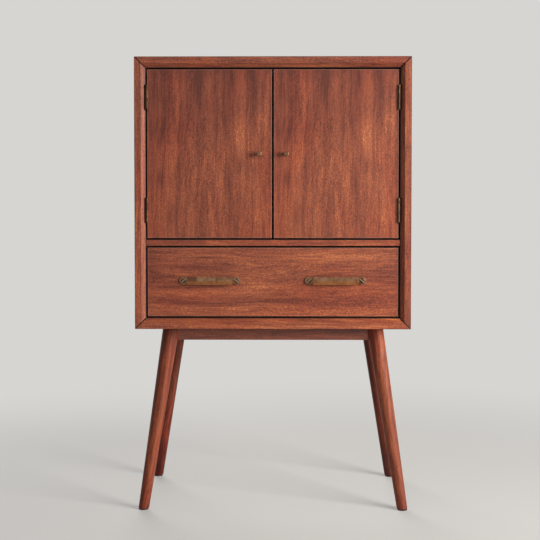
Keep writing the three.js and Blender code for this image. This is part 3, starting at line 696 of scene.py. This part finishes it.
front_veneer = stained_wood("front_veneer", along_x, (1.4, 0.6, 8.2), 0.52, 0.46, figure=front_figure,
                            centre=tuple(middle), marks=(front_edge_light_and_shade, edge_highlight_and_shade))
finish_node("fold_out_shelf", front_veneer)


# Butt hinges: two folded brass leaves on one pin, let into the door's edge and screwed to the case
# side. Their barrels stand in the side gaps, each beside a notch in the case's bevel.
sides = {"left": -1, "right": 1}
hinge_radius = 0.003
hinge_leaf = 0.002
hinge_gap = 0.0003
leaf_easing = 0.00035
knuckle_total = 5
knuckle_easing = 0.0005
knuckle_steps = 3
hinge_y = -0.1903
hinge_x = 0.347
leaf_back_y = -0.1693
leaf_screw_y = -0.1775
# A leaf's near and far side, its front and the first of its knuckles
hinge_leaves = {"case": (0.3487, 0.3507, -0.1873, 0), "door": (0.345, 0.347, -0.1867, 1)}
# How far up the leaf each screw stands, and how far its slot is turned
leaf_screws = ((0.16, 64), (0.5, 115), (0.84, 166))
# A screw head's radius, thickness, crown, slot width and slot depth
leaf_screw_head = (0.0031, 0.0003, 0.0001, 0.0008, 0.00025)
slot_wall_share = 0.04
slot_clear_share = 0.7
head_reach_share = 0.995
head_chords = 21
chord_points = 15


def eased_block(low, high, easing, steps=3):
    """A block with all its edges rounded: rounded rectangles stacked from bottom to top, each
    drawn in by the easing times one minus the sine of an angle that turns a quarter at each end."""
    low, high = np.minimum(low, high), np.maximum(low, high)
    bend = np.linspace(0, math.pi / 2, steps + 1)
    rise = easing * (1 - np.cos(bend))
    height = np.concatenate([low[2] + rise, high[2] - rise[::-1]])
    drawn_in = easing * (1 - np.sin(np.concatenate([bend, bend[::-1]])))
    middle, half = (low[:2] + high[:2]) / 2, (high[:2] - low[:2]) / 2
    corners = half * [(-1, -1), (1, -1), (1, 1), (-1, 1)]
    outline = softened(corners, easing, steps)
    shrink = 1 - drawn_in[:, None] / half[None]
    return stacked(lifted(outline[None] * shrink[:, None] + middle, height))


def slotted_head(radius, thickness, crown, slot_width, slot_depth, turn, axis, place):
    """A round screw head with a slot sawn across it. Its top is a net of chords: its height is the
    thickness, less a crown that grows with the fourth power of the distance from the middle, less
    the slot's depth between its walls. The rim drops straight to a flat underside."""
    wall = slot_width * slot_wall_share
    curve = np.sin(np.linspace(-math.pi / 2, math.pi / 2, head_chords)) * radius * head_reach_share
    outside = curve[np.abs(curve) > slot_width * slot_clear_share]
    near = slot_width / 2
    across = np.sort(np.concatenate([outside, [-near - wall, -near, near, near + wall]]))
    chord = np.sqrt(radius**2 - across**2)
    share = np.sin(np.linspace(-math.pi / 2, math.pi / 2, chord_points))
    along = chord[:, None] * share
    over = np.broadcast_to(across[:, None], along.shape)
    fall = (along**2 + over**2) / radius**2
    height = thickness - crown * fall**2
    height = height - np.where(np.abs(over) < near + wall / 2, slot_depth, 0)
    top = np.stack([over, along, height], -1)
    net = np.arange(along.size).reshape(along.shape)
    faces = np.stack([net[:-1, :-1], net[1:, :-1], net[1:, 1:], net[:-1, 1:]], -1).reshape(-1, 4).tolist()
    border = np.concatenate([net[:, 0], net[-1, 1:], net[-2::-1, -1], net[0, -2:0:-1]])
    points = top.reshape(-1, 3)
    foot = points[border] * [1, 1, 0]
    below = len(points) + np.arange(len(border))
    faces += np.stack([border, below, np.roll(below, -1), np.roll(border, -1)], -1).tolist()
    faces.append(below[::-1].tolist())
    points = np.concatenate([points, foot])
    cosine, sine = math.cos(math.radians(turn)), math.sin(math.radians(turn))
    swing = np.array([[cosine, sine, 0], [-sine, cosine, 0], [0, 0, 1]])
    return laid(points @ swing, axis, place), faces


def patina_clouds():
    """Patina by place in metres. Clear is how much clean metal shows, from clouds, spots and faint
    scratches along Z. Pits are the smallest spots, for the relief."""
    tree, place, result = new_group("patina", "Clear", "Pits")
    cloud = noise(tree, place, [70.0] * 3, 3.0, 0.55)
    speck = noise(tree, place, [620.0] * 3, roughness=0.6)
    scratch = noise(tree, place, (240.0, 240.0, 4200.0))
    value = maths(tree, "MULTIPLY_ADD", speck, 0.3, maths(tree, "MULTIPLY", cloud, 0.7))
    value = swung(tree, scratch, 0.1, value)
    fed(tree, result, {"Clear": ranged(tree, value, 0.28, 0.72), "Pits": speck})
    return tree


patina = patina_clouds()


def between(tree, value, low, high, fade):
    """1 between two values and 0 outside them, changing over the fade inside each."""
    above, below = ranged(tree, value, low, low + fade), ranged(tree, value, high, high - fade)
    return maths(tree, "MULTIPLY", above, below)


def aged_metal(name, tones, roughness, rate=1.0, painted_reflection=None, reflection_dimming=0.0, dark_reflection=None, slot=None):
    """Metal under a patina, rougher and darker than the clear metal. Below the height and between
    the ends of the painted reflection it carries a bright painted reflection of the floor, less
    bright by the reflection dimming at the first end, and between the places of the dark reflection
    it has a painted dark reflection. A slot has a painted highlight on its floor and painted shadow
    beside it, by its attribute."""
    material, tree, shader = new_material(name)
    place = object_place(tree)
    worn = values_at(tree, patina, vectors(tree, "MULTIPLY", place, [rate] * 3))
    clear = worn["Clear"]
    tint = ramp(tree, clear, tones)
    if painted_reflection:
        height, start, finish = painted_reflection
        x, y, z = parts_of(tree, place)
        reflected = ramp(tree, clear, painted_reflection_tones, 0.1, 0.9)
        reflected = mixed(tree, ranged(tree, x, start, finish, reflection_dimming, 0.0), reflected, tones[0])
        below = ranged(tree, z, height + reflection_over, height - reflection_under)
        within = between(tree, x, start - reflection_fade, finish + reflection_fade, reflection_fade)
        below = maths(tree, "MULTIPLY", below, within)
        if dark_reflection:
            tint = mixed(tree, between(tree, x, *dark_reflection, dark_reflection_fade), tint, tones[0])
        tint = mixed(tree, below, tint, reflected)
    if slot:
        across = node(tree, "ShaderNodeAttribute", attribute_name="slot").outputs["Fac"]
        tint = mixed(tree, ranged(tree, across, *slot_shadow_reach, 0.0, 0.85), tint, slot[1])
        tint = mixed(tree, ranged(tree, across, *slot_highlight_edge), tint, slot[0])
    fed(tree, shader, {
        "Base Color": tint,
        "Roughness": ranged(tree, clear, 0.0, 1.0, roughness + 0.1, roughness - 0.05),
        "Metallic": 1.0,
        "Normal": relief(tree, 0.1, 0.0001, worn["Pits"]),
    })
    return material


hinge_brass = aged_metal("hinge_brass", colours((58, 43, 34), (80, 60, 46), (96, 74, 55)), 0.48)
for side, sign in sides.items():
    for level in ("upper", "lower"):
        low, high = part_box(f"hinge_case_leaf_{level}_{side}")
        knuckle = (high.z - low.z - (knuckle_total - 1) * hinge_gap) / knuckle_total
        for leaf, (near, far, front_y, first) in hinge_leaves.items():
            name = f"hinge_{leaf}_leaf_{level}_{side}"
            body = "cabinet" if leaf == "case" else side + "_door"
            near, far = sign * near, sign * far
            shells = [eased_block((near, front_y, low.z), (far, leaf_back_y, high.z), leaf_easing)]
            for turn in range(first, knuckle_total, 2):
                bottom = low.z + turn * (knuckle + hinge_gap)
                profile = disc_profile(hinge_radius, bottom, bottom + knuckle, knuckle_easing, knuckle_steps)
                shells.append(turned(profile, "+z", (sign * hinge_x, hinge_y, 0)))
                web = ((near, hinge_y, bottom), (far, front_y + hinge_leaf, bottom + knuckle))
                shells.append(eased_block(*web, leaf_easing))
            seat = near if leaf == "case" else far
            facing = "-x" if (sign > 0) == (leaf == "case") else "+x"
            for share, slot_turn in leaf_screws:
                middle = (seat, leaf_screw_y, low.z + (high.z - low.z) * share)
                shells.append(slotted_head(*leaf_screw_head, slot_turn, facing, middle))
            hinge = mesh_piece(name + "_folded", shells, hinge_brass)
            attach(hinge, body)
            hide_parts(name)


# Door knobs: turned brass with a thin rose on the door, a waisted neck and a head with a rounded
# rim and an almost flat face. The spigot is glued into the door.
knob_tones = colours((86, 60, 45), (120, 87, 65), (144, 105, 77))
knob_brass = aged_metal("knob_brass", knob_tones, 0.5, 2.0)
# Radius, and height over the door's face
knob_corners = [
    (0.0002, -0.009), (0.003, -0.009), (0.003, 0.0003), (0.006, 0.0003), (0.006, 0.0019),
    (0.0042, 0.0024), (0.0042, 0.0062), (0.0058, 0.0092), (0.0075, 0.0106), (0.0075, 0.0186),
    (0.0062, 0.0198), (0.0002, 0.02),
]
knob_cuts = [0, 0.0003, 1e-6, 0.0003, 0.0004, 0.0006, 0.0012, 0.0012, 0.0012, 0.001, 0.0012, 0]
knob_steps = 4
knob_around = 48
knob_curve = softened(knob_corners, knob_cuts, knob_steps)[knob_steps + 1 : -(knob_steps + 1)]
knob_profile = np.concatenate([knob_corners[:1], knob_curve, knob_corners[-1:]])
for side in sides:
    middle = box_of("knob_" + side)[2]
    shell = turned(knob_profile, "-y", (middle.x, face_y, middle.z), knob_around)
    knob = mesh_piece(f"knob_{side}_turned", [shell], knob_brass)
    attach(knob, side + "_door")
    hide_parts("knob_" + side)


# Pulls: brass castings. A round tab at each end lies on the wood, and a bar with a ridge along
# its face stands before it on two posts.
pull_back_y = -0.1873
pull_tab_thickness = 0.004
pull_tab_radius = 0.0112
pull_tab_easing = 0.0008
pull_tab_around = 48
pull_screw_reach = 0.0735
pull_bar_reach = 0.062
pull_bar_back_y = -0.199
pull_bar_edge_y = -0.2016
pull_ridge_y = -0.207
pull_ridge_share = 0.51
pull_bar_easing = 0.0005
pull_bar_steps = 3
pull_bar_cuts = [0.0003, 0.0004, 0.0006, 0.0004, 0.0003]
pull_bar_ends = np.array([0, 0.0002, 0.0006])
pull_bar_drawn_in = [0.04, 0.015, 0, 0, 0.015, 0.04]
pull_post_width = 0.007
pull_post_inset = 0.0004
pull_post_sink = 0.001
pull_neck_half = 0.008
pull_neck_sink = 0.0002
pull_tones = colours((98, 68, 51), (138, 101, 76), (154, 116, 89))
# The bar's face below its ridge carries a bright painted reflection of the floor, dimmer towards the left
# pull's first end, and the left pull has a painted dark reflection above its ridge near that end.
painted_reflection_tones = colours((154, 98, 60), (188, 126, 80))
reflection_over = 0.0003
reflection_under = 0.0006
reflection_fade = 0.0004
dark_reflection_fade = 0.0012
pull_reflection_dimming = {"left": 0.24, "right": 0.0}
pull_dark_reflection = {"left": (-0.236, -0.209), "right": None}


def carried(outline, stations, drawn_in):
    """A bar along X: the outline, given as depth and height round its own middle, is repeated at
    each station and scaled there by one less the share that it is drawn in."""
    shape = np.array(outline)
    middle = (shape.min(0) + shape.max(0)) / 2
    rings = middle + (shape - middle)[None] * (1 - np.array(drawn_in))[:, None, None]
    return stacked(np.roll(lifted(rings, np.array(stations)), 1, axis=-1))


for side in sides:
    low, high, middle = box_of("pull_" + side)
    ridge_z = high.z - (high.z - low.z) * pull_ridge_share
    corners = [
        (pull_bar_back_y, high.z), (pull_bar_edge_y, high.z), (pull_ridge_y, ridge_z),
        (pull_bar_edge_y, low.z), (pull_bar_back_y, low.z),
    ]
    section = softened(corners, pull_bar_cuts, pull_bar_steps)
    first_end = pull_bar_ends - pull_bar_reach
    stations = np.concatenate([first_end, -first_end[::-1]]) + middle.x
    shells = [carried(section, stations, pull_bar_drawn_in)]
    tab_front = pull_back_y - pull_tab_thickness
    for end in (-1, 1):
        screw_x = middle.x + end * pull_screw_reach
        bar_end = middle.x + end * pull_bar_reach
        inner = bar_end - end * pull_post_width
        profile = disc_profile(pull_tab_radius, 0, pull_tab_thickness, pull_tab_easing)
        shells.append(turned(profile, "-y", (screw_x, pull_back_y, middle.z), pull_tab_around))
        bottom, top = middle.z - pull_neck_half, middle.z + pull_neck_half
        outer = bar_end - end * pull_post_inset
        neck = ((inner, tab_front + pull_neck_sink, bottom), (screw_x, pull_back_y, top))
        post = ((inner, pull_bar_back_y - pull_post_sink, bottom), (outer, pull_back_y, top))
        shells += [eased_block(*neck, pull_bar_easing), eased_block(*post, pull_bar_easing)]
    # Where the painted reflection lies: below the ridge, along the bar.
    painted_reflection = (ridge_z, middle.x - pull_bar_reach, middle.x + pull_bar_reach)
    pull_brass = aged_metal(f"pull_{side}_brass", pull_tones, 0.38, painted_reflection=painted_reflection, reflection_dimming=pull_reflection_dimming[side],
                            dark_reflection=pull_dark_reflection[side])
    pull = mesh_piece(f"pull_{side}_cast", shells, pull_brass)
    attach(pull, "folding_front")
    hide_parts("pull_" + side)


# Pull screws: brass screws with low crowned heads, turned, each with a slot sawn across it. They
# go through the pulls' tabs into the panel.
pull_screw_radius = 0.0074
pull_screw_head = 0.0024
pull_screw_crown = 0.0009
pull_screw_shank = 0.0024
pull_shank_start = 0.7
pull_shank_easing = 0.0004
pull_slot_width = 0.003
pull_slot_depth = 0.0013
# Half slots away from the slot's middle: the painted shadow's end and start, the painted highlight's edge
slot_shadow_reach = (2.6, 1.3)
slot_highlight_edge = (1.1, 0.9)
# A painted highlight on the slot's floor and painted shadow beside it.
slot_highlight_and_shadow = colours((222, 182, 152), (38, 29, 24))
screw_tones = colours((80, 57, 44), (110, 81, 62), (132, 97, 75))
# The outer right screw's darker brass is painted shade.
shaded_screw_tones = colours((60, 42, 33), (83, 60, 46), (100, 73, 56))
screw_brass = aged_metal("screw_brass", screw_tones, 0.44, 1.6, slot=slot_highlight_and_shadow)
shaded_screw_brass = aged_metal("shaded_screw_brass", shaded_screw_tones, 0.48, 1.6, slot=slot_highlight_and_shadow)
# How far each slot is turned, and the screw's brass, darkened with painted shade on the outer right
pull_screws = {
    "outer_left": (-50, screw_brass),
    "inner_left": (55, screw_brass),
    "inner_right": (-48, screw_brass),
    "outer_right": (50, shaded_screw_brass),
}
for place_name, (slot_turn, brass) in pull_screws.items():
    name = "pull_screw_" + place_name
    low, high, middle = box_of(name)
    middle.y = low.y + pull_screw_head
    head = slotted_head(pull_screw_radius, pull_screw_head, pull_screw_crown, pull_slot_width,
                        pull_slot_depth, slot_turn, "-y", middle)
    shank_y = low.y + pull_screw_head * pull_shank_start
    shank_profile = disc_profile(pull_screw_shank, shank_y, high.y, pull_shank_easing)
    shank = turned(shank_profile, "+y", (middle.x, 0, middle.z))
    screw = mesh_piece(name + "_turned", [head, shank], brass)
    from_middle = head[0] - np.array(middle)
    angle = math.radians(slot_turn)
    across = np.full(len(screw.data.vertices), pull_screw_radius)
    across[: len(from_middle)] = np.abs(from_middle @ (math.cos(angle), 0, math.sin(angle)))
    slot_place = screw.data.attributes.new("slot", "FLOAT", "POINT")
    slot_place.data.foreach_set("value", across / (pull_slot_width / 2))
    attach(screw, "folding_front")
    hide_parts(name)


# Shelf pins: turned steel pins, each with a thin collar. They are pushed into holes in the case
# sides, and the shelf lies on them.
pin_collar_radius = 0.0042
pin_collar_x = (0.3498, 0.3509)
pin_collar_easing = 0.0002
pin_collar_steps = 2
pin_easing = 0.0007
steel = aged_metal("steel", colours((96, 94, 92), (142, 140, 137), (176, 174, 170)), 0.36, 0.6)
for side, sign in sides.items():
    for end in ("front", "back"):
        name = f"shelf_pin_{end}_{side}"
        low, high, middle = box_of(name)
        middle.x = 0
        inner, outer = (high.x, low.x) if sign < 0 else (low.x, high.x)
        facing = "+x" if sign > 0 else "-x"
        pin_profile = disc_profile((high.z - low.z) / 2, abs(inner), abs(outer), pin_easing)
        collar = disc_profile(pin_collar_radius, *pin_collar_x, pin_collar_easing, pin_collar_steps)
        shells = [turned(pin_profile, facing, middle), turned(collar, facing, middle)]
        pin = mesh_piece(name + "_turned", shells, steel)
        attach(pin, "cabinet")
        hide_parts(name)


# Door catch: a moulded block screwed under the top, with a steel plate on the back of each door
# that its two magnets hold.
catch_easing = 0.0012
magnet_half = (0.009, 0.0045)
magnet_y = (-0.0001, 0.001)
magnet_easing = 0.0002
plate_easing = 0.0003
plate_screw_sink = 0.0001
plate_screw_turn = 30
plate_screw_head = (0.0026, 0.0003, 0.0001, 0.0007, 0.00025)
low, high, middle = box_of("door_catch")
catch = mesh_piece("door_catch_moulded", [eased_block(low, high, catch_easing)], dark_plastic)
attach(catch, "cabinet")
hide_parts("door_catch")
for side in sides:
    plate_low, plate_high, centre = box_of("catch_plate_" + side)
    seat = (centre.x, plate_high.y - plate_screw_sink, centre.z)
    screw = slotted_head(*plate_screw_head, plate_screw_turn, "+y", seat)
    shells = [eased_block(plate_low, plate_high, plate_easing), screw]
    plate = mesh_piece(f"catch_plate_{side}_pressed", shells, steel)
    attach(plate, side + "_door")
    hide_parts("catch_plate_" + side)
    face = ((centre.x - magnet_half[0], low.y + magnet_y[0], middle.z - magnet_half[1]),
            (centre.x + magnet_half[0], low.y + magnet_y[1], middle.z + magnet_half[1]))
    magnet = mesh_piece(f"catch_magnet_{side}", [eased_block(*face, magnet_easing)], steel)
    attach(magnet, "cabinet")


# Pivot brackets: flat steel arms on the inner faces of the drawer's sides, with the pin that the
# folding front turns on, held by two screws each.
bracket_half = 0.005
bracket_middle_x = 0.3302
bracket_y = -0.177
bracket_chamfer = 0.0015
bracket_stations = np.array([-0.0015, -0.0013, 0.0013, 0.0015])
bracket_drawn_in = [0.01, 0, 0, 0.01]
bracket_steps = 12
bracket_pin_radius = 0.002
bracket_pin_easing = 0.0004
bracket_face = 0.0014
# How far back each screw stands, and how far its slot is turned
bracket_screws = ((0.55, 69), (0.88, 95.4))
bracket_screw_head = (0.003, 0.0005, 0.0002, 0.0008, 0.0003)
for side, sign in sides.items():
    low, high, middle = box_of("pivot_bracket_" + side)
    pin_reach = high.x - low.x
    middle.x = sign * bracket_middle_x
    arc = np.linspace(math.pi / 2, math.pi * 1.5, bracket_steps)
    nose = np.stack([bracket_y + bracket_half * np.cos(arc), middle.z + bracket_half * np.sin(arc)], -1)
    tail = [
        (high.y - bracket_chamfer, low.z), (high.y, low.z + bracket_chamfer),
        (high.y, high.z - bracket_chamfer), (high.y - bracket_chamfer, high.z),
    ]
    arm = carried(np.concatenate([nose, tail]), middle.x + bracket_stations, bracket_drawn_in)
    pin_profile = disc_profile(bracket_pin_radius, -pin_reach / 2, pin_reach / 2, bracket_pin_easing)
    shells = [arm, turned(pin_profile, "+x", (middle.x, bracket_y, middle.z))]
    facing = "-x" if sign > 0 else "+x"
    for share, slot_turn in bracket_screws:
        seat = (middle.x - sign * bracket_face, bracket_y + (high.y - bracket_y) * share, middle.z)
        shells.append(slotted_head(*bracket_screw_head, slot_turn, facing, seat))
    bracket = mesh_piece(f"pivot_bracket_{side}_pressed", shells, steel)
    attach(bracket, "drawer")
    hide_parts("pivot_bracket_" + side)


# Flap magnets: nickel-plated discs glued flush into the front ends of the drawer's sides. They
# hold the folding front up.
flap_magnet_easing = 0.0004
flap_magnet_around = 40
for side in sides:
    name = "flap_magnet_" + side
    low, high, middle = box_of(name)
    profile = disc_profile((high.x - low.x) / 2, low.y, high.y, flap_magnet_easing)
    disc = turned(profile, "+y", (middle.x, 0, middle.z), flap_magnet_around)
    magnet = mesh_piece(name + "_plated", [disc], steel)
    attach(magnet, "drawer")
    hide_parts(name)


# Stage: a plain pale floor that runs out into a background of the same tone, soft light from the
# right, the front and behind, and the camera where the photograph was taken.
pale = colour(214, 213, 210)
floor_radius = 12.0
floor_steps = 96
# Where the floor turns into the background, and how far it has done so there
floor_fade = (0.5, 2.1)
floor_share = (0.3, 1.0)
rim = floor_radius * circle(floor_steps)
floor_mesh = bpy.data.meshes.new("floor")
floor_mesh.from_pydata([(x, y, 0) for x, y in rim], [], [list(range(floor_steps))])
floor_material, tree, shader = new_material("floor")
fed(tree, shader, {"Base Color": colour(212, 210, 206), "Roughness": 0.7, "Specular IOR Level": 0.2})
away = node(tree, "ShaderNodeVectorMath", {0: object_place(tree)}, operation="LENGTH").outputs["Value"]
backdrop = node(tree, "ShaderNodeEmission", {"Color": pale})
rays = node(tree, "ShaderNodeLightPath").outputs
seen = maths(tree, "MAXIMUM", rays["Is Camera Ray"], rays["Is Glossy Ray"])
faded = maths(tree, "MULTIPLY", ranged(tree, away, *floor_fade, *floor_share), seen)
both = node(tree, "ShaderNodeMixShader", {0: faded, 1: shader.outputs[0], 2: backdrop.outputs[0]})
fed(tree, tree.nodes["Material Output"], {"Surface": both.outputs[0]})
floor_mesh.materials.append(floor_material)
floor = in_scene("floor", floor_mesh)

world = bpy.data.worlds.new("studio")
bpy.context.scene.world = world
world.use_nodes = True
tree = world.node_tree
tree.nodes.clear()
rays = node(tree, "ShaderNodeLightPath").outputs
mirrored = maths(tree, "MAXIMUM", rays["Is Glossy Ray"], rays["Is Transmission Ray"])
seen = maths(tree, "MAXIMUM", rays["Is Camera Ray"], mirrored)
ambient = node(tree, "ShaderNodeBackground", {"Color": (1.0, 1.0, 1.0, 1.0), "Strength": 0.14})
backdrop = node(tree, "ShaderNodeBackground", {"Color": pale, "Strength": 1.0})
both = node(tree, "ShaderNodeMixShader", {0: seen, 1: ambient.outputs[0], 2: backdrop.outputs[0]})
node(tree, "ShaderNodeOutputWorld", {"Surface": both.outputs[0]})


def softbox(name, place, aim, size, watts, tint, spread=180):
    """A square lamp at its place, facing the point that it is aimed at. A grid narrows its light to
    the spread, in degrees."""
    lamp = bpy.data.lights.new(name, "AREA")
    lamp.size = size
    lamp.energy = watts
    lamp.color = tint
    lamp.spread = math.radians(spread)
    holder = in_scene(name, lamp)
    holder.location = place
    ray = Vector(aim) - holder.location
    holder.rotation_euler = ray.to_track_quat("-Z", "Y").to_euler()


softbox("key", (2.45, -1.8, 1.34), (0, 0, 0.8), 1.5, 55.5, (1.0, 0.97, 0.94), 110)
softbox("fill", (-0.4, -3.8, 2.2), (0, 0, 0.7), 2.4, 11, (0.92, 0.97, 1.0))
softbox("back", (-0.9, 3.8, 2.6), (0, 0, 0.7), 2.6, 100, (1.0, 1.0, 1.0))

camera_pitch = 2.006
camera_turn = 0.631
lens = bpy.data.cameras.new("camera")
lens.lens = 72.38
lens.sensor_width = 36
lens.shift_y = -0.07
camera = in_scene("camera", lens)
camera.location = (0.0253, -3.1854, 0.8806)
camera.rotation_euler = (math.radians(90 - camera_pitch), 0, math.radians(camera_turn))
bpy.context.scene.camera = camera
bpy.context.scene.view_settings.view_transform = "Standard"
